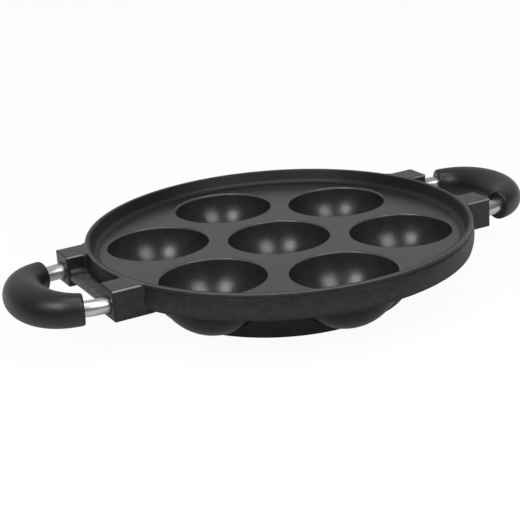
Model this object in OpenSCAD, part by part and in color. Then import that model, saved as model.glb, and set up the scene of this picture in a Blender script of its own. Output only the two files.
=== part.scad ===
// Aebleskiver pan: one cast pan with seven round cavities and a handle on each side.
// Lengths are in millimetres and angles in degrees. The pan stands on its foot ring
// at z = 0, centred on the Z axis, with its two handles along X.

/* [Rim and deck] */
// Outer diameter of the rim
rim_d = 230; // [224:1:260]
// Height of the rim above the flat deck
rim_h = 8.3; // [6:0.1:14]
// Width of the flat top of the rim
lip_w = 3; // [2:0.1:5]
// Height of the lip round the top of the wall
lip_h = 2; // [1.5:0.1:4]
// Height of the groove under the lip, which is half as deep
groove_h = 1.2; // [0.6:0.1:2]
// Rounding of the rim's edges
lip_round = 0.7; // [0.3:0.1:0.9]
// Height of the outer wall, from the top of the rim to its lower edge
wall_h = 15.4; // [14:0.1:24]
// How far the outer wall's lower edge stays behind the rim
wall_lean = 0.5; // [0:0.1:2]
// How far the outer wall bulges out between the groove and its lower edge
wall_bulge = 0.8; // [0.2:0.1:2]
// Width of the wall's lower edge
skirt_w = 3; // [2:0.1:5]
// Rounding of the lower edge's outer side
skirt_round = 0.6; // [0.3:0.1:0.9]
// How far the inner wall leans in towards the deck
inner_lean = 2; // [0:0.1:3.5]
// Fillet between the inner wall and the deck
deck_fillet = 3.5; // [1:0.1:5]
// Thickness of the deck
deck_t = 4; // [3:0.1:6]

/* [Cavities] */
// Diameter of a cavity at the deck
cavity_d = 61; // [50:0.5:64]
// Depth of a cavity below the deck
cavity_depth = 30.2; // [22:0.1:40]
// Rounding of a cavity's edge
cavity_round = 1.2; // [0.4:0.1:2]
// Width of flat deck between the outer cavities and the wall's fillet
cavity_margin = 3.4; // [2:0.1:8]
// Number of cavities round the middle one
ring_count = 6; // [3:1:6]
// Wall thickness of a cavity
bowl_t = 2.5; // [2:0.1:4]
// Fillet under the deck, round each cavity's outside
bowl_fillet = 3; // [1:0.1:4]

/* [Foot ring] */
// Width of the foot ring's flat underside
foot_w = 6.4; // [4:0.1:9]
// How far the cavities' undersides stay above the surface the pan stands on
foot_relief = 0.4; // [0.2:0.1:3]
// How far each side of the foot ring widens up to the deck
foot_lean = 0.6; // [0:0.1:1.5]

/* [Lugs] */
// Distance between the centres of a side's two lugs
lug_spacing = 67; // [60:0.5:80]
// Width of a lug
lug_w = 17; // [15:0.5:22]
// Height of a lug
lug_h = 18.4; // [16.8:0.1:24]
// How far a lug's end face stands out past the rim
lug_out = 10.3; // [8:0.1:20]
// Rounding of a lug's edges
lug_round = 1.2; // [0.5:0.1:2.5]
// Fillet where a lug's outer side meets the rim
lug_fillet = 2.5; // [1:0.5:8]
// Fillet where a lug's inner side meets the wall
lug_inner_fillet = 2.5; // [1:0.5:4]
// How far a lug's root reaches in under the wall, from the rim's outside
lug_root = 5; // [3:0.5:8]

/* [Web between the lugs] */
// Depth of the web's upper face below the rim
web_drop = 10.6; // [8:0.1:13]
// Thickness of the web
web_t = 3.6; // [3:0.1:5]
// How far the web's edge stays behind the lugs' end faces
web_setback = 0.8; // [0:0.1:4]
// Fillet where the web meets a lug
web_fillet = 3.5; // [1:0.1:6]
// Rounding of the web's free edge
web_round = 1; // [0.3:0.1:1.4]

/* [Handle rod] */
// Diameter of the rod
rod_d = 9; // [7:0.1:10]
// Depth of the rod's axis below the rim
rod_drop = 10.3; // [9.5:0.1:11.5]
// Length of the rod inside a lug
rod_insert = 13.5; // [11:0.5:14]
// Clear stretch of rod between a lug and the grip
rod_bare = 12.9; // [8:0.1:25]
// Bend radius of the rod from the lugs to the grip
rod_lead_r = 46; // [45:1:90]
// Bend radius of the rod at the grip's corners
rod_corner_r = 26.5; // [20:0.5:28]
// Bend radius of the rod across the grip's middle
rod_bow_r = 41; // [38:1:80]
// Slope of the whole handle, upwards away from the pan
handle_rise = 0.3; // [0:0.1:3]
// Clearance between the rod and its bore in a lug, on the radius
rod_gap = 0.06; // [0.05:0.01:0.2]
// Rounding of the rod's ends
rod_end_round = 0.8; // [0.3:0.1:2]
// Countersink round a bore's mouth
bore_sink = 1; // [0.3:0.1:1.5]

/* [Grip] */
// Width of the grip at its ends
grip_end_w = 15.4; // [14:0.1:20]
// Height of the grip at its ends
grip_end_h = 17.8; // [14:0.1:22]
// Width of the grip at its middle
grip_mid_w = 23.8; // [16:0.1:26]
// Height of the grip at its middle
grip_mid_h = 22.4; // [16:0.1:26]
// Rounding of the grip's ends
grip_end_round = 1.2; // [0.5:0.1:2.5]
// Clearance between the grip and the rod inside it, on the radius
grip_gap = 0.1; // [0.05:0.01:0.3]

/* [Handle pins] */
// Diameter of a pin
pin_d = 4; // [3:0.1:5]
// Distance from a lug's end face back to its pin
pin_back = 8; // [6:0.5:9]
// How far a pin reaches past the rod, into the metal above it
pin_grip = 2; // [1:0.1:3]
// How far a pin's lower end is sunk into the lug
pin_sink = 0.5; // [0.2:0.1:1.5]
// Clearance round a pin, on the radius
pin_gap = 0.05; // [0.02:0.01:0.1]
// Chamfer at a pin's ends
pin_chamfer = 0.5; // [0.2:0.1:1]

/* [Hidden] */

coated_metal = [0.22, 0.22, 0.22];
bright_metal = [0.80, 0.81, 0.82];
black_grip = [0.13, 0.12, 0.12];

left = -1;
right = 1;
past = 1; // how far a cut runs past the face it opens, or a joined piece into its neighbour
flat_step = 0.03; // how far a rounding runs on through the flat that it ends at
fillet_steps = 8; // straight steps in each small rounding
turn_steps = 120; // facets of a full turn on the pan's round forms
bar_steps = 64; // facets round a bar, a bore, a pin or a rounded corner
seam_step = 0.02; // how much thinner every other length of rod is
seam_lap = 0.3; // how far it runs on inside its neighbours
grip_sides = 28; // points of one ring of the grip
skin_rings = 36; // steps along the grip's skin
bore_rings = 36; // steps along its bore

// Levels
deck_z = foot_relief + bowl_t + cavity_depth;
rim_z = deck_z + rim_h;
deck_under_z = deck_z - deck_t;
wall_low_z = rim_z - wall_h;
rod_z = rim_z - rod_drop;
lug_low_z = rim_z - lug_h;
web_z = rim_z - web_drop;

// Radii
rim_r = rim_d / 2;
wall_low_r = rim_r - wall_lean;
tray_top_r = rim_r - lip_w;
tray_low_r = tray_top_r - inner_lean;
cavity_r = cavity_d / 2;
pitch_r = tray_low_r - deck_fillet - cavity_margin - cavity_r;

// A cavity is a round cap, or half a ball below a straight part where it is deeper
bowl_r = cavity_depth >= cavity_r ? cavity_r
       : (cavity_r * cavity_r + cavity_depth * cavity_depth) / (2 * cavity_depth);
bowl_z = deck_z - cavity_depth + bowl_r;

// Lugs
lug_y = lug_spacing / 2;
lug_x = rim_r + lug_out;
lug_in_y = lug_y - lug_w / 2;
lug_out_y = lug_y + lug_w / 2;

// Handle's path from a lug's end face: a gentle lead bend out to the grip, a corner in it and the bow
lead_turn = asin(rod_bare / rod_lead_r);
grip_y = lug_y - rod_lead_r * (1 - cos(lead_turn));
corner_x = rod_bare - rod_corner_r * sin(lead_turn);
corner_y = grip_y - rod_corner_r * cos(lead_turn);
corner_turn = acos(corner_y / (rod_bow_r - rod_corner_r));
bow_x = corner_x - (rod_bow_r - rod_corner_r) * sin(corner_turn);
corner_length = rod_corner_r * (corner_turn - lead_turn) * PI / 180;
grip_half = corner_length + rod_bow_r * (90 - corner_turn) * PI / 180;

// Points along an arc, from one angle to another
function arc(cx, cy, r, from, to, steps = fillet_steps) =
    [for (i = [0 : steps]) let (a = from + (to - from) * i / steps) [cx + r * cos(a), cy + r * sin(a)]];

// Points between two ends, the lower one first, on the arc that bulges out from their straight line
function bulged(low, high, out, steps = fillet_steps) =
    let (up = high - low, across = norm(up), r = (across * across / 4 + out * out) / (2 * out),
         facing = atan2(-up[0], up[1]), half = asin(across / 2 / r),
         c = (low + high) / 2 - (r - out) * [cos(facing), sin(facing)])
    [for (i = [1 : steps - 1]) let (a = facing - half + 2 * half * i / steps) c + r * [cos(a), sin(a)]];

// How far the path has turned after a length of grip: 90 degrees at the middle of the bow
function turn(s) =
    s < corner_length ? lead_turn + s / rod_corner_r * 180 / PI
                      : corner_turn + (s - corner_length) / rod_bow_r * 180 / PI;

// Point of the path after a length of grip, from its near end to the middle of the bow
function path_point(s) =
    s < corner_length ? [corner_x + rod_corner_r * sin(turn(s)), corner_y + rod_corner_r * cos(turn(s))]
                      : [bow_x + rod_bow_r * sin(turn(s)), rod_bow_r * cos(turn(s))];

// Places a part of the handle at the right or the left side of the pan
module at_side(side) {
    mirror([side == left ? 1 : 0, 0, 0])
        translate([lug_x, 0, rod_z])
            rotate([0, -handle_rise, 0])
                children();
}

// Repeats a part of the handle for its two legs
module both_legs() {
    for (m = [0, 1]) mirror([0, m, 0]) children();
}

// Solid of revolution about Z from a closed outline
module turned(outline) {
    rotate_extrude($fn = turn_steps) polygon(outline);
}

// Deck, wall and lip as one solid disc, before the tray is cut into it
module blank() {
    inner = skirt_w / 2;
    outer = skirt_round;
    groove = groove_h / 2;
    turned(concat(
        [[0, deck_under_z], [wall_low_r - skirt_w, deck_under_z]],
        arc(wall_low_r - inner, wall_low_z + inner, inner, 180, 270),
        arc(wall_low_r - outer, wall_low_z + outer, outer, 270, 360),
        bulged([wall_low_r, wall_low_z + outer], [rim_r, rim_z - lip_h - groove_h], wall_bulge),
        arc(rim_r, rim_z - lip_h - groove, groove, 270, 90),
        arc(rim_r - lip_round, rim_z - lip_round, lip_round, 0, 90),
        [[0, rim_z]]));
}

// Space inside the rim, above the deck
module tray() {
    lean = atan2(inner_lean, rim_h);
    fillet_x = tray_low_r - deck_fillet * tan(45 - lean / 2);
    turned(concat(
        [[0, deck_z]],
        arc(fillet_x, deck_z + deck_fillet, deck_fillet, -90, -lean),
        arc(tray_top_r + lip_round, rim_z - lip_round, lip_round, 180 - lean, 90),
        [[tray_top_r + lip_round, rim_z + past], [0, rim_z + past]]));
}

// Repeats a shape at the middle and at each cavity of the ring
module at_cavities() {
    children();
    for (i = [0 : ring_count - 1])
        rotate([0, 0, 360 / ring_count * (i + 0.5)]) translate([pitch_r, 0, 0]) children();
}

// Space inside one cavity, with its rounded edge at the deck
module cavity() {
    edge_z = deck_z + flat_step - cavity_round;
    edge_r = cavity_r + cavity_round;
    translate([0, 0, bowl_z]) sphere(r = bowl_r, $fn = turn_steps);
    if (deck_z > bowl_z)
        translate([0, 0, bowl_z]) cylinder(r = cavity_r, h = deck_z - bowl_z, $fn = turn_steps);
    turned(concat(
        [[0, edge_z], [cavity_r, edge_z]],
        arc(edge_r, edge_z, cavity_round, 180, 90),
        [[edge_r, deck_z + past], [0, deck_z + past]]));
}

// Round underside of one cavity, with its fillet up to the deck
module bowl() {
    out_r = bowl_r + bowl_t;
    top_z = deck_under_z + flat_step - bowl_fillet;
    side_r = top_z > bowl_z ? out_r : sqrt(out_r * out_r - (bowl_z - top_z) * (bowl_z - top_z));
    inside_z = deck_z - deck_t / 2;
    intersection() {
        translate([0, 0, bowl_z]) sphere(r = out_r, $fn = turn_steps);
        cylinder(r = out_r, h = min(deck_z, bowl_z), $fn = turn_steps);
    }
    if (deck_z > bowl_z)
        translate([0, 0, bowl_z]) cylinder(r = out_r, h = deck_z - bowl_z, $fn = turn_steps);
    turned(concat(
        [[0, top_z]],
        arc(side_r + bowl_fillet, top_z, bowl_fillet, 180, 90),
        [[side_r + bowl_fillet, inside_z], [0, inside_z]]));
}

// Ring that the pan stands on, through the cavities' lowest points
module foot_ring() {
    low = foot_w / 2;
    high = low + foot_lean;
    top_z = deck_under_z + past;
    turned([[pitch_r - low, 0], [pitch_r + low, 0], [pitch_r + high, top_z], [pitch_r - high, top_z]]);
}

// Rectangle with rounded corners, from its lower left corner
module rounded_rect(w, h, r) {
    translate([r, 0]) square([w - 2 * r, h]);
    translate([0, r]) square([w, h - 2 * r]);
    for (x = [r, w - r], y = [r, h - r]) translate([x, y]) circle(r = r, $fn = bar_steps);
}

// Fillet in the corner between a lug's side, at level y, and the round wall. Its underside
// rises from the lug's underside to the wall's lower edge.
module root_fillet(y, r) {
    outward = y > lug_y ? 1 : -1;
    cy = y + outward * r;
    cx = sqrt(pow(rim_r + r, 2) - cy * cy);
    touch = rim_r / (rim_r + r);
    inside_y = y - outward * lug_round;
    intersection() {
        translate([0, 0, lug_low_z]) linear_extrude(lug_h) difference() {
            polygon([[cx, y], [cx * touch, cy * touch], [cx * touch - lug_root, y]]);
            translate([cx, cy]) circle(r = r, $fn = bar_steps);
        }
        rotate([90, 0, 90]) linear_extrude(lug_x)
            polygon([[inside_y, lug_low_z], [cy, wall_low_z], [cy, rim_z + past], [inside_y, rim_z + past]]);
    }
}

// One lug, on the +X and +Y side
module lug() {
    root_x = rim_r - lug_root - lug_out_y; // far enough in for the cut below
    block_length = lug_x - root_x;
    difference() {
        union() {
            intersection() {
                translate([root_x, lug_in_y, lug_low_z])
                    rotate([90, 0, 90]) linear_extrude(block_length) rounded_rect(lug_w, lug_h, lug_round);
                translate([root_x, lug_in_y, lug_low_z])
                    linear_extrude(lug_h) rounded_rect(block_length, lug_w, lug_round);
                translate([root_x, lug_out_y, lug_low_z])
                    rotate([90, 0, 0]) linear_extrude(lug_w) rounded_rect(block_length, lug_h, lug_round);
            }
            root_fillet(lug_out_y, lug_fillet);
            root_fillet(lug_in_y, lug_inner_fillet);
        }
        translate([0, 0, lug_low_z - past])
            cylinder(r = rim_r - lug_root, h = lug_h + 2 * past, $fn = turn_steps);
    }
}

// Plate between a side's two lugs, with a rounded free edge and a fillet up each lug
module web() {
    half = lug_in_y + past;
    root_x = rim_r - lug_root - lug_in_y; // far enough in for the cut below
    length = lug_x - web_setback - root_x;
    difference() {
        union() {
            translate([root_x, half, web_z - web_t]) rotate([90, 0, 0])
                linear_extrude(2 * half) rounded_rect(length, web_t, web_round);
            both_legs() translate([root_x, lug_in_y, web_z]) rotate([90, 0, 90])
                linear_extrude(length - web_round) difference() {
                    translate([-web_fillet, -past]) square([web_fillet + past, web_fillet + past]);
                    translate([-web_fillet, web_fillet]) circle(r = web_fillet, $fn = bar_steps);
                }
        }
        translate([0, 0, web_z - web_t - past])
            cylinder(r = rim_r - lug_root, h = web_t + web_fillet + 2 * past, $fn = turn_steps);
    }
}

// Bore for one leg of the handle's rod, with its countersunk mouth
module rod_bore() {
    bore_r = rod_d / 2 + rod_gap;
    mouth_r = bore_r + bore_sink;
    translate([-rod_insert, lug_y, 0]) rotate([0, 90, 0])
        cylinder(r = bore_r, h = rod_insert + past, $fn = bar_steps);
    translate([0, lug_y, 0]) rotate([0, 90, 0]) rotate_extrude($fn = bar_steps)
        polygon([[0, -bore_sink], [bore_r, -bore_sink], [mouth_r, 0], [mouth_r, past], [0, past]]);
}

// Hole for one pin, up through the lug and the rod
module pin_hole() {
    translate([-pin_back, lug_y, rod_d / 2 + pin_grip]) mirror([0, 0, 1])
        cylinder(r = pin_d / 2 + pin_gap, h = lug_h, $fn = bar_steps);
}

// The casting: tray, cavities, foot ring, lugs and webs in one piece
module pan_body() {
    color(coated_metal) difference() {
        union() {
            blank();
            at_cavities() bowl();
            foot_ring();
            for (side = [left, right]) mirror([side == left ? 1 : 0, 0, 0]) {
                both_legs() lug();
                web();
            }
        }
        tray();
        at_cavities() cavity();
        for (side = [left, right]) at_side(side) both_legs() {
            rod_bore();
            pin_hole();
        }
    }
}

// Bent round bar about a centre in the handle's plane; with a lap it runs on at both ends
module bent_bar(cx, cy, bend_r, bar_r, from, to, lap = 0) {
    more = lap / bend_r * 180 / PI;
    translate([cx, cy, 0]) rotate([0, 0, 90 - to - more])
        rotate_extrude(angle = to - from + 2 * more, $fn = 2 * turn_steps)
            translate([bend_r, 0]) circle(r = bar_r, $fn = bar_steps);
}

// One handle's rod: two straight legs in the lugs and five bends in one run, every other
// length a hair thinner and lapped into its neighbours, so that the seams close
module handle_rod(side) {
    bar_r = rod_d / 2;
    thin_r = bar_r - seam_step;
    end = rod_end_round;
    leg = concat([[0, 0]], arc(bar_r - end, end, end, -90, 0), [[bar_r, rod_insert], [0, rod_insert]]);
    color(bright_metal) at_side(side) difference() {
        union() {
            both_legs() {
                translate([-rod_insert, lug_y, 0]) rotate([0, 90, 0])
                    rotate_extrude($fn = bar_steps) polygon(leg);
                bent_bar(0, lug_y - rod_lead_r, rod_lead_r, thin_r, 0, lead_turn, seam_lap);
                bent_bar(corner_x, corner_y, rod_corner_r, bar_r, lead_turn, corner_turn);
            }
            bent_bar(bow_x, 0, rod_bow_r, thin_r, corner_turn, 180 - corner_turn, seam_lap);
        }
        both_legs() pin_hole();
    }
}

// Oval ring of points square to the handle's path, at a length along the grip
function grip_ring(s, half_w, half_h) =
    let (flip = s > grip_half ? -1 : 1, t = min(s, 2 * grip_half - s), a = turn(t), c = path_point(t))
    [for (i = [0 : grip_sides - 1]) let (p = 360 * i / grip_sides, out = half_w * cos(p))
        [c[0] + out * sin(a), flip * (c[1] + out * cos(a)), half_h * sin(p)]];

// Half the grip's width or height at a length along it, from its sizes at the ends and the middle
function swollen(s, end_size, mid_size) =
    (end_size + (mid_size - end_size) * sin(90 * min(s, 2 * grip_half - s) / grip_half)) / 2;

// One grip: a horseshoe that swells towards its middle, with the bore for the rod.
// Its rings run out along the skin and back through the bore, and one closed skin joins them.
module handle_grip(side) {
    length = 2 * grip_half;
    bore_r = rod_d / 2 + grip_gap;
    near = [for (a = [0 : 30 : 90]) grip_end_round * [1 - cos(a), 1 - sin(a)]];
    straight = length - 2 * grip_end_round;
    along = [for (i = [1 : skin_rings - 1]) [grip_end_round + straight * i / skin_rings, 0]];
    far = [for (i = [len(near) - 1 : -1 : 0]) [length - near[i][0], near[i][1]]];
    skin = [for (at = concat(near, along, far)) let (s = at[0], inset = at[1])
        grip_ring(s, swollen(s, grip_end_w, grip_mid_w) - inset,
                  swollen(s, grip_end_h, grip_mid_h) - inset)];
    bore = [for (i = [bore_rings : -1 : 0]) grip_ring(length * i / bore_rings, bore_r, bore_r)];
    rings = concat(skin, bore);
    faces = [for (k = [0 : len(rings) - 1], i = [0 : grip_sides - 1])
        let (j = (i + 1) % grip_sides, a = k * grip_sides, b = (k + 1) % len(rings) * grip_sides)
        each [[a + i, b + i, b + j], [a + i, b + j, a + j]]];
    color(black_grip) at_side(side)
        polyhedron(points = [for (r = rings) each r], faces = faces, convexity = 6);
}

// The four pins that hold the rods in the lugs, pressed in from below
module handle_pins() {
    pin_r = pin_d / 2;
    top = rod_d / 2 + pin_grip;
    length = top + rod_z - lug_low_z - pin_sink;
    color(bright_metal) for (side = [left, right]) at_side(side) both_legs()
        translate([-pin_back, lug_y, top - length]) rotate_extrude($fn = bar_steps)
            polygon([[0, 0], [pin_r - pin_chamfer, 0], [pin_r, pin_chamfer],
                     [pin_r, length - pin_chamfer], [pin_r - pin_chamfer, length], [0, length]]);
}

pan_body();
handle_rod(left);  // left_handle_rod
handle_grip(left);  // left_handle_grip
handle_rod(right);  // right_handle_rod
handle_grip(right);  // right_handle_grip
handle_pins();
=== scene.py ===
from math import asin, cos, pi, radians, sin

import bpy
from mathutils import Matrix, Vector


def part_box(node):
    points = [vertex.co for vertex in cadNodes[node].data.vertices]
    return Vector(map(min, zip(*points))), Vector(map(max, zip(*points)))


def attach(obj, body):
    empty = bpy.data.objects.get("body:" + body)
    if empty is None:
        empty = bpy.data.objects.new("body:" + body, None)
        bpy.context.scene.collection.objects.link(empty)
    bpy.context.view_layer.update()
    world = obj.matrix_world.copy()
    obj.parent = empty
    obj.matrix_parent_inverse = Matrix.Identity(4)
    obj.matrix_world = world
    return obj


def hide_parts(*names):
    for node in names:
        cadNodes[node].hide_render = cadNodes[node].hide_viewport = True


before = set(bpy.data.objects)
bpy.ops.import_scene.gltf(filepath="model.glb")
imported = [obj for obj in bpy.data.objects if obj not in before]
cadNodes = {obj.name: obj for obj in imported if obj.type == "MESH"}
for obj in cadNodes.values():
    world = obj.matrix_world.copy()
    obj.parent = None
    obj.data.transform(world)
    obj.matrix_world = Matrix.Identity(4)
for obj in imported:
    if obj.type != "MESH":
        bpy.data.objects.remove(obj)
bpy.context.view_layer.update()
print("frame loaded:", len(cadNodes), "nodes")


# Node trees, for finishes and for shapes

class Wire:  # one output of a node tree; sums on it become Math nodes
    def __init__(self, tree, out=None):
        self.tree = tree
        self.out = out

    def add(self, kind, settings=None, values=None, pick=0):  # any node, its settings first
        node = self.tree.nodes.new(kind)
        for name, value in (settings or {}).items():
            if name == "stops":
                self.setStops(node.color_ramp, value)
            elif name == "capture":
                node.capture_items.new("FLOAT", value)
            else:
                setattr(node, name, value)
        for key, value in (values or {}).items():
            if isinstance(value, Wire):
                self.tree.links.new(value.out, node.inputs[key])
            else:
                node.inputs[key].default_value = value
        return Wire(self.tree, node.outputs[pick]) if node.outputs else None

    def setStops(self, ramp, stops):
        while len(ramp.elements) < len(stops):
            ramp.elements.new(0.5)
        for element, (position, level) in zip(ramp.elements, stops):
            element.position = position
            element.color = (level, level, level, 1)

    def also(self, name):  # another output of the same node
        return Wire(self.tree, self.out.node.outputs[name])

    def sum(self, operation, *terms):
        return self.add("ShaderNodeMath", {"operation": operation}, dict(enumerate(terms)))

    def __add__(self, other):
        return self.sum("ADD", self, other)

    def __radd__(self, other):
        return self.sum("ADD", other, self)

    def __sub__(self, other):
        return self.sum("SUBTRACT", self, other)

    def __rsub__(self, other):
        return self.sum("SUBTRACT", other, self)

    def __mul__(self, other):
        return self.sum("MULTIPLY", self, other)

    def __rmul__(self, other):
        return self.sum("MULTIPLY", other, self)

    def __truediv__(self, other):
        return self.sum("DIVIDE", self, other)

    def __rtruediv__(self, other):
        return self.sum("DIVIDE", other, self)

    def __pow__(self, power):
        return self.sum("POWER", self, power)


def least(a, b):
    return (a if isinstance(a, Wire) else b).sum("MINIMUM", a, b)


def most(a, b):
    return (a if isinstance(a, Wire) else b).sum("MAXIMUM", a, b)


# Finishes

def newMaterial(name):
    material = bpy.data.materials.new(name)
    material.use_nodes = True
    material.node_tree.nodes.clear()
    tree = Wire(material.node_tree)
    return material, tree, tree.add("ShaderNodeTexCoord").also("Object")


def noise(tree, place, size, detail, roughness):  # size of its blotches in metres
    return tree.add("ShaderNodeTexNoise", None, {
        "Vector": place, "Scale": 1 / size, "Detail": detail, "Roughness": roughness})


def ramp(tree, factor, stops):
    return tree.add("ShaderNodeValToRGB", {"stops": stops}, {"Fac": factor})


def mixColor(tree, factor, low, high):  # 6 and 7 are the node's two colours, and 2 is its colour output
    return tree.add("ShaderNodeMix", {"data_type": "RGBA"}, {
        "Factor": factor, 6: asColor(low), 7: asColor(high)}, 2)


def between(value, start, full):  # 0 at start, 1 from full on
    return most(least((value - start) / (full - start), 1), 0)


def asColor(value):
    return value if isinstance(value, Wire) else (*value, 1)


def bump(tree, height):  # height in metres
    return tree.add("ShaderNodeBump", None, {"Strength": 1.0, "Distance": 1.0, "Height": height})


def finishWith(tree, values):
    shader = tree.add("ShaderNodeBsdfPrincipled", None, values)
    tree.add("ShaderNodeOutputMaterial", None, {"Surface": shader})


coating = {
    # Inside the tray: two tones of the coat, painted highlights on the cavities' rolled edges and on the
    # lip, and painted shade on the tray's wall, which is rougher as well
    "deepShade": (0.0150, 0.0143, 0.0147),
    "paleShade": (0.0240, 0.0231, 0.0236),
    "wallFrom": (0.1062, 0.1075),            # distance from the pan's axis at which the tray's wall begins
    # painted shade: a darker tone on the tray's inner wall
    "wallPaintedShade": (0.0040, 0.0038, 0.0039),
    "edgeBand": (0.0317, 0.0322, 0.0328, 0.0331),   # heights of the cavities' rolled edges, which get a painted highlight
    # painted highlight: a paler tone on the cavities' rolled edges
    "edgeHighlight": (0.0800, 0.0775, 0.0790),
    "lipFrom": (0.1132, 0.1140),             # distance and heights of the lip's outer edge, which gets a painted highlight as well
    "lipBand": (0.0407, 0.0411),
    # painted highlight: a paler line along the lip's outer edge
    "lipHighlight": (0.0550, 0.0533, 0.0541),

    # Outside and underneath: two tones of the outer coat, which set in beyond a distance, and on faces that
    # look down, where they are painted shade on the undersides
    "outsideFrom": (0.1142, 0.1149),
    "undersideShadeFacing": (-0.15, -0.35),
    "outsideDeep": (0.0060, 0.0056, 0.0058),
    "outsidePale": (0.0170, 0.0163, 0.0166),

    # Lugs and webs: a coarser cast skin, with painted light on the webs and on the lugs' tops, a paler tone
    # where light from above falls on them
    "castFrom": (0.1157, 0.1168),
    "webHalf": 0.0215,                       # half the room between two lugs
    "paintedLitTopDeep": (0.0320, 0.0308, 0.0314),
    "paintedLitTopPale": (0.0900, 0.0872, 0.0885),
    "lugTop": (0.0410, 0.0412),              # height of a lug's flat top
    "lugTopShare": 0.45,                     # share of the webs' painted light on it
    "lugEdge": (0.0400, 0.0404),             # height of its rounded edges
    "lugEdgeFacing": (0.2, 0.5),             # those that face the front or the back get a painted highlight
    # painted highlight along those edges
    "lugGlintShade": (0.1900, 0.1850, 0.1872),

    # Patterns: size, detail and roughness of each
    "mottle": (0.009, 3.0, 0.6),
    "grain": (0.0008, 2.0, 0.5),
    "peel": (0.0026, 1.0, 0.5),
    "cast": (0.0035, 4.0, 0.6),
    "grainShare": 0.4,                       # of grain in the mix of tones, the rest being mottle
    "tintStops": [(0.36, 0.0), (0.64, 1.0)],
    "castStops": [(0.35, 0.0), (0.70, 1.0)],
    "grainHeight": 0.000010,
    "peelHeight": 0.000030,
    "castHeight": 0.000060,

    # Gloss: what the wall and the cast skin add to the roughness
    "roughness": 0.30,
    "roughnessSwing": 0.08,
    "wallRoughness": 0.20,
    "castRoughness": 0.10,
    "ior": 1.5,
}


def coatingFinish():  # fired non-stick coat: fine grain on a slight orange peel, in faint blotches
    material, tree, place = newMaterial("nonStickCoating")
    mottle, grain, peel, lumps = (
        noise(tree, place, *coating[name]) for name in ("mottle", "grain", "peel", "cast"))

    across = tree.add("ShaderNodeSeparateXYZ", None, {"Vector": place}, 1)  # Y, from the front to the back
    height = across.also("Z")
    level = tree.add("ShaderNodeVectorMath", {"operation": "MULTIPLY"}, {0: place, 1: (1, 1, 0)})
    fromAxis = tree.add("ShaderNodeVectorMath", {"operation": "LENGTH"}, {0: level}).also("Value")
    facing = tree.add("ShaderNodeSeparateXYZ", None, {"Vector": place.also("Normal")}, 1)  # of a face

    # Masks for the parts of the casting
    cast = between(fromAxis, *coating["castFrom"])
    beyondDeck = between(fromAxis, *coating["wallFrom"])
    wall = beyondDeck * (1 - cast)
    edgeLow, edgeFull, edgeEnd, edgeHigh = coating["edgeBand"]
    # painted highlight along the cavities' rolled edges
    edge = between(height, edgeLow, edgeFull) * between(height, edgeHigh, edgeEnd) * (1 - beyondDeck)
    # painted highlight along the lip's outer edge
    lip = between(fromAxis, *coating["lipFrom"]) * between(height, *coating["lipBand"]) * (1 - cast)
    # the outer coat beyond a distance, and painted shade on faces that look down
    outside = most(between(fromAxis, *coating["outsideFrom"]),
                   between(facing.also("Z"), *coating["undersideShadeFacing"]))
    onTop = between(height, *coating["lugTop"])
    onWeb = across.sum("LESS_THAN", across.sum("ABSOLUTE", across), coating["webHalf"])
    # painted light on the webs and the lugs' tops
    paintedLitTop = cast * most(onWeb, onTop * coating["lugTopShare"])
    # painted highlight along the lugs' rounded top edges that face the front or the back
    lugGlint = (cast * between(height, *coating["lugEdge"]) * (1 - onTop)
            * between(facing.sum("ABSOLUTE", facing), *coating["lugEdgeFacing"]))

    # Colours from inside to outside
    tones = mottle * (1 - coating["grainShare"]) + grain * coating["grainShare"]
    smooth = mixColor(tree, ramp(tree, tones, coating["tintStops"]),
                      coating["deepShade"], coating["paleShade"])
    smooth = mixColor(tree, edge, smooth, coating["edgeHighlight"])
    # painted shade on the tray's inner wall
    smooth = mixColor(tree, wall, smooth, coating["wallPaintedShade"])
    skin = mixColor(tree, ramp(tree, lumps, coating["castStops"]),
                    mixColor(tree, paintedLitTop, coating["outsideDeep"], coating["paintedLitTopDeep"]),
                    mixColor(tree, paintedLitTop, coating["outsidePale"], coating["paintedLitTopPale"]))
    skin = mixColor(tree, lugGlint, skin, coating["lugGlintShade"])

    relief = (grain * coating["grainHeight"] + peel * coating["peelHeight"]
              + lumps * cast * coating["castHeight"])
    finishWith(tree, {
        "Base Color": mixColor(tree, lip, mixColor(tree, outside, smooth, skin), coating["lipHighlight"]),
        "Roughness": (coating["roughness"] + (mottle - 0.5) * coating["roughnessSwing"]
                      + cast * coating["castRoughness"] + wall * coating["wallRoughness"]),
        "IOR": coating["ior"],
        "Normal": bump(tree, relief),
    })
    return material


chrome = {
    "shade": (0.64, 0.64, 0.65),
    "roughness": 0.36,
    "roughnessSwing": 0.05,
    "haze": (0.004, 4.0, 0.6),    # size, detail and roughness of its pattern
}


def chromeFinish():  # bright plating with a faint haze
    material, tree, place = newMaterial("brightChrome")
    haze = noise(tree, place, *chrome["haze"])
    finishWith(tree, {
        "Base Color": asColor(chrome["shade"]),
        "Metallic": 1.0,
        "Roughness": chrome["roughness"] + (haze - 0.5) * chrome["roughnessSwing"],
    })
    return material


moulding = {
    "deepShade": (0.0065, 0.0060, 0.0062),
    "paleShade": (0.0110, 0.0104, 0.0106),
    "mottle": (0.007, 3.0, 0.6),
    "grain": (0.0006, 2.0, 0.5),
    "grainHeight": 0.000008,
    "roughness": 0.42,
    "roughnessSwing": 0.06,
    "ior": 1.5,
}


def mouldingFinish():  # dark thermoset with a soft sheen
    material, tree, place = newMaterial("blackMoulding")
    mottle = noise(tree, place, *moulding["mottle"])
    grain = noise(tree, place, *moulding["grain"])
    finishWith(tree, {
        "Base Color": mixColor(tree, mottle, moulding["deepShade"], moulding["paleShade"]),
        "Roughness": moulding["roughness"] + (mottle - 0.5) * moulding["roughnessSwing"],
        "IOR": moulding["ior"],
        "Normal": bump(tree, grain * moulding["grainHeight"]),
    })
    return material


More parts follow.
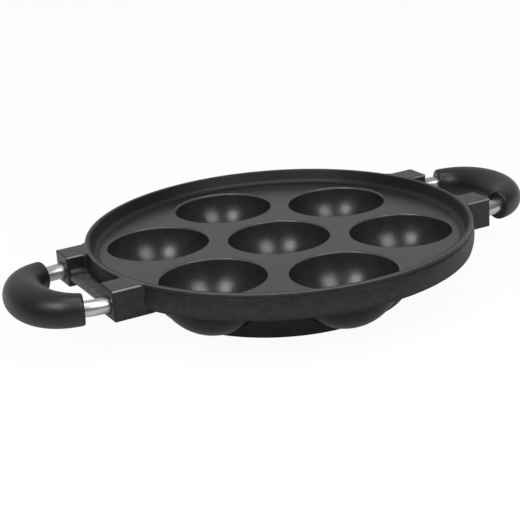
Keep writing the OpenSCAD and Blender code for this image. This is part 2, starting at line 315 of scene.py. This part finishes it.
pinSteel = {
    "shade": (0.46, 0.46, 0.47),
    "roughness": 0.30,
    "roughnessSwing": 0.10,
    "grain": (0.0003, 2.0, 0.5),
    "grainHeight": 0.000004,
}


def pinFinish():  # plain ground steel
    material, tree, place = newMaterial("plainSteel")
    grain = noise(tree, place, *pinSteel["grain"])
    finishWith(tree, {
        "Base Color": asColor(pinSteel["shade"]),
        "Metallic": 1.0,
        "Roughness": pinSteel["roughness"] + (grain - 0.5) * pinSteel["roughnessSwing"],
        "Normal": bump(tree, grain * pinSteel["grainHeight"]),
    })
    return material


panCoat = coatingFinish()
rodChrome = chromeFinish()
gripMoulding = mouldingFinish()
pinMetal = pinFinish()
print("finishes made")


# The handles' path lies in a plane of its own: X away from the lugs' end faces, Y along the pan's side

handlePath = {
    "insert": 0.0135,        # length of a leg inside its lug
    "bareLength": 0.0129,    # stretch along X from a lug to the grip
    "leadRadius": 0.046,     # the three bends, from a lug to the middle of the bow
    "cornerRadius": 0.0265,
    "bowRadius": 0.041,
    "rise": radians(0.3),    # tilt of that plane, up towards the bow
    "pointSpacing": 0.0012,
    "edgeSteps": range(0, 90, 15),    # degrees round a rounded end at which it gets a point
}

rod = {
    "diameter": 0.009,
    "edgeRound": 0.0008,
    "sides": 64,
}

rodLow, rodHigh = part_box("right_handle_rod")
rodRadius = rod["diameter"] / 2
rise = handlePath["rise"]
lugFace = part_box("pan_body")[1].x
legY = rodHigh.y - rodRadius
axisZ = rodLow.z + rodRadius * cos(rise) + handlePath["insert"] * sin(rise)

leadTurn = asin(handlePath["bareLength"] / handlePath["leadRadius"])
cornerCentreY = legY - handlePath["leadRadius"] + (
    handlePath["leadRadius"] - handlePath["cornerRadius"]) * cos(leadTurn)
bowTurn = pi / 2 - asin(cornerCentreY / (handlePath["bowRadius"] - handlePath["cornerRadius"]))
bends = [
    (handlePath["leadRadius"], leadTurn),
    (handlePath["cornerRadius"], bowTurn - leadTurn),
    (handlePath["bowRadius"], pi / 2 - bowTurn),
]
bareRun = bends[0][0] * bends[0][1]
halfRun = sum(radius * turn for radius, turn in bends)


def pathPoint(run):  # the point after that run from one lug's face, mirrored past the middle
    left = min(run, 2 * halfRun - run)
    x, y, turned = min(left, 0), legY, 0
    for radius, turn in bends:
        step = min(max(left, 0) / radius, turn)
        x += radius * (sin(turned + step) - sin(turned))
        y += radius * (cos(turned + step) - cos(turned))
        turned += step
        left -= radius * turn
        if left <= 0:
            break
    return Vector((x, y if run <= halfRun else -y, 0))


def pathMesh(name, start, end, edgeRound):  # a line of points, closer together where the ends are rounded
    near = [edgeRound * (1 - cos(radians(angle))) for angle in handlePath["edgeSteps"]]
    straight = end - start - 2 * edgeRound
    count = round(straight / handlePath["pointSpacing"])
    runs = [start + step for step in near]
    runs += [start + edgeRound + straight * i / count for i in range(count + 1)]
    runs += [end - step for step in reversed(near)]
    mesh = bpy.data.meshes.new(name)
    links = [(i, i + 1) for i in range(len(runs) - 1)]
    mesh.from_pydata([pathPoint(run) for run in runs], links, [])
    return mesh


# Shapes from Geometry Nodes

def newShape(name, inputs):  # a tree with named inputs, and the wires that they feed
    tree = bpy.data.node_groups.new(name, "GeometryNodeTree")
    for label, kind in {"Geometry": "Geometry", **inputs}.items():
        tree.interface.new_socket(label, in_out="INPUT", socket_type="NodeSocket" + kind)
    tree.interface.new_socket("Geometry", in_out="OUTPUT", socket_type="NodeSocketGeometry")
    source = tree.nodes.new("NodeGroupInput")
    return Wire(tree), {label: Wire(tree, source.outputs[label]) for label in ["Geometry", *inputs]}


def closeShape(shape, finish):
    shape = shape.add("GeometryNodeRealizeInstances", None, {"Geometry": shape})
    shape = shape.add("GeometryNodeSetMaterial", None, {"Geometry": shape, "Material": finish})
    shape.add("NodeGroupOutput", None, {"Geometry": shape})


def grow(name, base, shape, values, sharpAngle=35):  # runs a tree on a mesh and keeps the plain result
    piece = bpy.data.objects.new(name, base)
    bpy.context.scene.collection.objects.link(piece)
    modifier = piece.modifiers.new("build", "NODES")
    modifier.node_group = shape.tree
    for socket in shape.tree.interface.items_tree:
        if socket.in_out == "INPUT" and socket.name in values:
            modifier[socket.identifier] = values[socket.name]
    depsgraph = bpy.context.evaluated_depsgraph_get()
    mesh = bpy.data.meshes.new_from_object(piece.evaluated_get(depsgraph), depsgraph=depsgraph)
    piece.modifiers.remove(modifier)
    piece.data = mesh
    mesh.name = name
    mesh.shade_smooth()
    mesh.set_sharp_from_angle(angle=radians(sharpAngle))
    print("  ", name, len(mesh.polygons), "faces")
    return piece


def sweep(curve, sides, halfSize):  # a round bar along a curve, closed at both ends
    circle = curve.add("GeometryNodeCurvePrimitiveCircle", None, {"Resolution": sides, "Radius": 1.0})
    return curve.add("GeometryNodeCurveToMesh", None, {
        "Curve": curve, "Profile Curve": circle, "Scale": halfSize, "Fill Caps": True})


def runOn(curve):  # run from the nearer end of a curve
    run = curve.add("GeometryNodeSplineParameter").also("Length")
    whole = curve.add("GeometryNodeCurveLength", None, {"Curve": curve})
    return least(run, whole - run)


def longerCurve(curve, reach):  # the same curve with its two end points pushed straight on
    tangent = curve.add("GeometryNodeInputTangent")
    for size, push in (("Start Size", 0 - reach), ("End Size", reach)):
        ends = {"Start Size": 0, "End Size": 0, size: 1}
        curve = curve.add("GeometryNodeSetPosition", None, {
            "Geometry": curve,
            "Selection": curve.add("GeometryNodeCurveEndpointSelection", None, ends),
            "Offset": curve.add("ShaderNodeVectorMath", {"operation": "SCALE"}, {
                0: tangent, "Scale": push})})
    return curve


def roundedIn(run, edgeRound):  # how far a rounded end edge draws in at that run from the end
    short = most(edgeRound - run, 0)
    return edgeRound - most(edgeRound * edgeRound - short * short, 0) ** 0.5


def placeHandle(shape, given):  # tips its plane up, carries it to the lugs and turns it to its side
    tip = shape.add("ShaderNodeCombineXYZ", None, {"Y": 0 - given["Rise"]})
    face = shape.add("ShaderNodeCombineXYZ", None, {"X": given["Lug Face"], "Z": given["Axis Height"]})
    half = shape.add("ShaderNodeCombineXYZ", None, {"Z": given["Side Turn"]})
    shape = shape.add("GeometryNodeTransform", None, {
        "Geometry": shape, "Translation": face,
        "Rotation": shape.add("FunctionNodeEulerToRotation", None, {0: tip})})
    return shape.add("GeometryNodeTransform", None, {
        "Geometry": shape, "Rotation": shape.add("FunctionNodeEulerToRotation", None, {0: half})})


placeInputs = {"Rise": "Float", "Lug Face": "Float", "Axis Height": "Float", "Side Turn": "Float"}
placeValues = {"Rise": rise, "Lug Face": lugFace, "Axis Height": axisZ}


pinHoles = {
    "diameter": 0.004,       # of a pin
    "clearance": 0.00005,
    "back": 0.008,           # from a lug's end face to the pin's axis
    "drillLength": 3.0,      # of a rod's radius, so that it passes right through
}


def rodShape():  # one bent bar with rounded ends and a cross hole for each pin
    tree, given = newShape("bentRod", {
        "Radius": "Float", "Edge Round": "Float", "Sides": "Int", "Hole Radius": "Float",
        "Hole Back": "Float", "Leg Offset": "Float", **placeInputs, "Finish": "Material"})
    curve = tree.add("GeometryNodeMeshToCurve", None, {"Mesh": given["Geometry"]})
    bar = sweep(curve, given["Sides"], given["Radius"] - roundedIn(runOn(curve), given["Edge Round"]))
    drill = tree.add("GeometryNodeMeshCylinder", None, {
        "Vertices": given["Sides"], "Radius": given["Hole Radius"],
        "Depth": given["Radius"] * pinHoles["drillLength"]})
    spots = tree.add("GeometryNodeMeshLine", {"mode": "END_POINTS"}, {
        "Count": 2,
        "Start Location": tree.add("ShaderNodeCombineXYZ", None, {
            "X": 0 - given["Hole Back"], "Y": given["Leg Offset"]}),
        "Offset": tree.add("ShaderNodeCombineXYZ", None, {
            "X": 0 - given["Hole Back"], "Y": 0 - given["Leg Offset"]})})
    drills = tree.add("GeometryNodeRealizeInstances", None, {
        "Geometry": tree.add("GeometryNodeInstanceOnPoints", None, {"Points": spots, "Instance": drill})})
    bar = tree.add("GeometryNodeMeshBoolean", {"operation": "DIFFERENCE", "solver": "EXACT"}, {
        "Mesh 1": bar, "Mesh 2": drills})
    closeShape(placeHandle(bar, given), given["Finish"])
    return tree


grip = {
    "endWidth": 0.0154,      # sizes across the path, in the handle's plane and square to it
    "endHeight": 0.0178,
    "middleWidth": 0.0238,
    "middleHeight": 0.02238,
    "edgeRound": 0.0012,
    "boreClearance": 0.0001,
    "boreReach": 0.002,      # how far the bore's cutter runs past each end
    "sides": 96,
}


def gripShape():  # an oval bar that swells towards its middle, bored for the rod
    tree, given = newShape("swollenGrip", {
        "End Width": "Float", "Middle Width": "Float", "End Height": "Float", "Middle Height": "Float",
        "Edge Round": "Float", "Sides": "Int", "Bore Radius": "Float", "Bore Reach": "Float",
        **placeInputs, "Finish": "Material"})
    curve = tree.add("GeometryNodeMeshToCurve", None, {"Mesh": given["Geometry"]})
    swell = tree.sum("SINE", tree.add("GeometryNodeSplineParameter") * pi)
    drawnIn = roundedIn(runOn(curve), given["Edge Round"])
    width = given["End Width"] + (given["Middle Width"] - given["End Width"]) * swell
    height = given["End Height"] + (given["Middle Height"] - given["End Height"]) * swell
    halfWidth, halfHeight = width / 2 - drawnIn, height / 2 - drawnIn
    kept = tree.add("GeometryNodeCaptureAttribute", {"capture": "Flattening"}, {
        "Geometry": curve, 1: halfHeight / halfWidth})
    body = sweep(kept, given["Sides"], halfWidth)
    flatten = tree.add("ShaderNodeCombineXYZ", None, {"X": 1.0, "Y": 1.0, "Z": kept.also("Flattening")})
    body = tree.add("GeometryNodeSetPosition", None, {
        "Geometry": body,
        "Position": tree.add("ShaderNodeVectorMath", {"operation": "MULTIPLY"}, {
            0: tree.add("GeometryNodeInputPosition"), 1: flatten})})
    bore = sweep(longerCurve(curve, given["Bore Reach"]), given["Sides"], given["Bore Radius"])
    body = tree.add("GeometryNodeMeshBoolean", {"operation": "DIFFERENCE", "solver": "EXACT"}, {
        "Mesh 1": body, "Mesh 2": bore})
    closeShape(placeHandle(body, given), given["Finish"])
    return tree


rodTree = rodShape()
gripTree = gripShape()
for side, sideTurn in {"right": 0.0, "left": pi}.items():
    insert = handlePath["insert"]
    rodPath = pathMesh(side + "RodPath", -insert, 2 * halfRun + insert, rod["edgeRound"])
    rodPiece = grow(side + "Rod", rodPath, rodTree, {
        "Radius": rodRadius, "Edge Round": rod["edgeRound"], "Sides": rod["sides"],
        "Hole Radius": pinHoles["diameter"] / 2 + pinHoles["clearance"], "Hole Back": pinHoles["back"],
        "Leg Offset": legY, "Side Turn": sideTurn, "Finish": rodChrome, **placeValues})
    gripPath = pathMesh(side + "GripPath", bareRun, 2 * halfRun - bareRun, grip["edgeRound"])
    gripPiece = grow(side + "Grip", gripPath, gripTree, {
        "End Width": grip["endWidth"], "Middle Width": grip["middleWidth"],
        "End Height": grip["endHeight"], "Middle Height": grip["middleHeight"],
        "Edge Round": grip["edgeRound"], "Sides": grip["sides"],
        "Bore Radius": rodRadius + grip["boreClearance"], "Bore Reach": grip["boreReach"],
        "Side Turn": sideTurn, "Finish": gripMoulding, **placeValues})
    for piece, node, slot in (
            (rodPiece, side + "_handle_rod", "chromed_rod"),
            (gripPiece, side + "_handle_grip", "moulded_grip")):
        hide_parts(node)
        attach(piece, "root")
print("handles made")

cadNodes["pan_body"].data.materials[0] = panCoat
cadNodes["handle_pins"].data.materials[0] = pinMetal


# Studio: the camera where the photograph was taken from, soft boxes in front and overhead, a pale floor

studio = {
    "cameraPlace": (-0.363455, -0.668839, 0.294120),
    "cameraTurn": radians(-27.601),    # round Z from +Y
    "cameraDown": radians(19.879),
    "cameraRoll": radians(3.944),
    "lens": 93.18,                     # millimetres, as is the sensor's width
    "sensorWidth": 36,
    "clipStart": 0.01,
    "boxes": {    # degrees round Z from +X, degrees above the floor, distance, side and watts
        "frontBox": (-79, 41, 1.0, 0.44, 4.0),
        "sideBox": (-150, 41, 1.0, 0.34, 4.0),
        "overheadBox": (-118, 80, 1.1, 0.36, 2.6),
    },
    "roomLight": 0.35,                 # what falls on the object from all round
    "mirrored": [                      # what gloss sees of the room, from the camera's side to the backdrop
        (0.0, 0.03), (0.5, 0.10), (0.75, 0.55), (1.0, 0.56)],
}

white = (1, 1, 1, 1)


def addCamera():
    turn, down, roll = studio["cameraTurn"], studio["cameraDown"], studio["cameraRoll"]
    right = Vector((cos(turn), sin(turn), 0))
    ahead = Vector((-sin(turn) * cos(down), cos(turn) * cos(down), -sin(down)))
    up = right.cross(ahead)
    columns = Matrix((
        right * cos(roll) - up * sin(roll), right * sin(roll) + up * cos(roll), -ahead))
    camera = bpy.data.objects.new("camera", bpy.data.cameras.new("camera"))
    camera.data.sensor_width = studio["sensorWidth"]
    camera.data.lens = studio["lens"]
    camera.data.clip_start = studio["clipStart"]
    camera.matrix_world = Matrix.Translation(studio["cameraPlace"]) @ columns.transposed().to_4x4()
    bpy.context.scene.collection.objects.link(camera)
    bpy.context.scene.camera = camera
    return ahead


def addSoftBox(name, turn, rise, distance, size, watts):
    light = bpy.data.lights.new(name, "AREA")
    light.shape = "SQUARE"
    light.size = size
    light.energy = watts
    turn, rise = radians(turn), radians(rise)
    away = Vector((cos(rise) * cos(turn), cos(rise) * sin(turn), sin(rise)))
    aim = away.to_track_quat("Z", "Y").to_matrix().to_4x4()
    softBox = bpy.data.objects.new(name, light)
    softBox.matrix_world = Matrix.Translation(away * distance) @ aim
    softBox.visible_camera = False
    bpy.context.scene.collection.objects.link(softBox)


ahead = addCamera()
for name, setting in studio["boxes"].items():
    addSoftBox(name, *setting)


def rayKinds(tree):  # 1 for rays from the camera, and 1 for those that gloss and glass send on
    path = tree.add("ShaderNodeLightPath")
    return path.also("Is Camera Ray"), most(path.also("Is Glossy Ray"), path.also("Is Transmission Ray"))


def towardsBack(tree, vector):  # its part along the level way from the camera to the backdrop
    return tree.add("ShaderNodeVectorMath", {"operation": "DOT_PRODUCT"}, {
        0: vector, 1: Vector((ahead.x, ahead.y, 0)).normalized()}).also("Value")


def addWorld():
    world = bpy.data.worlds.new("studio")
    world.use_nodes = True
    world.node_tree.nodes.clear()
    tree = Wire(world.node_tree)
    direction = tree.add("ShaderNodeTexCoord").also("Generated")
    back = towardsBack(tree, direction)
    direct, mirrored = rayKinds(tree)
    seen = ramp(tree, back * 0.5 + 0.5, studio["mirrored"])
    room = (1 - mirrored) * studio["roomLight"] + mirrored * seen
    background = tree.add("ShaderNodeBackground", None, {"Color": white, "Strength": most(direct, room)})
    tree.add("ShaderNodeOutputWorld", None, {"Surface": background})
    bpy.context.scene.world = world


paleFloor = {
    "half": 6.0,                       # half the floor's side
    "tone": (0.9, 0.9, 0.9),
    "seen": 0.95,                      # share of plain white for the camera, the rest keeps the shadow
    "shade": [                         # how pale gloss sees it, from the pan's axis outwards: painted shadow under the pan, a paler ring round it and darker farther out
        (0.30, 0.08), (0.36, 0.80), (0.46, 0.50), (0.70, 0.12)],
    "reach": 0.4,                      # distance at which that ramp ends
    "fade": (-0.16, 0.0),              # how far back its glow for gloss sets in, and where it is full
    "glow": (0.45, 0.95),              # strength of that glow under the pan and farther out, lower under the pan as painted shade
    "clear": (0.14, 0.24),             # distances from the axis over which it rises
}


def addFloor():
    half = paleFloor["half"]
    corners = [(-half, -half, 0), (half, -half, 0), (half, half, 0), (-half, half, 0)]
    mesh = bpy.data.meshes.new("floor")
    mesh.from_pydata(corners, [], [(0, 1, 2, 3)])
    floor = bpy.data.objects.new("floor", mesh)
    bpy.context.scene.collection.objects.link(floor)
    material, tree, place = newMaterial("paleFloor")
    direct, mirrored = rayKinds(tree)
    out = tree.add("ShaderNodeVectorMath", {"operation": "LENGTH"}, {0: place}).also("Value")
    # painted shadow under the pan, as gloss sees the floor
    shade = ramp(tree, out / paleFloor["reach"], paleFloor["shade"])
    tone = mixColor(tree, mirrored, paleFloor["tone"], shade)
    paper = tree.add("ShaderNodeBsdfDiffuse", None, {"Color": tone})
    dim, bright = paleFloor["glow"]
    strength = most(direct, dim + (bright - dim) * between(out, *paleFloor["clear"]))
    glow = tree.add("ShaderNodeEmission", None, {"Color": white, "Strength": strength})
    share = direct * paleFloor["seen"] + mirrored * between(towardsBack(tree, place), *paleFloor["fade"])
    tree.add("ShaderNodeOutputMaterial", None, {
        "Surface": tree.add("ShaderNodeMixShader", None, {0: share, 1: paper, 2: glow})})
    mesh.materials.append(material)


addWorld()
addFloor()
bpy.context.scene.view_settings.view_transform = "Standard"
print("studio made")
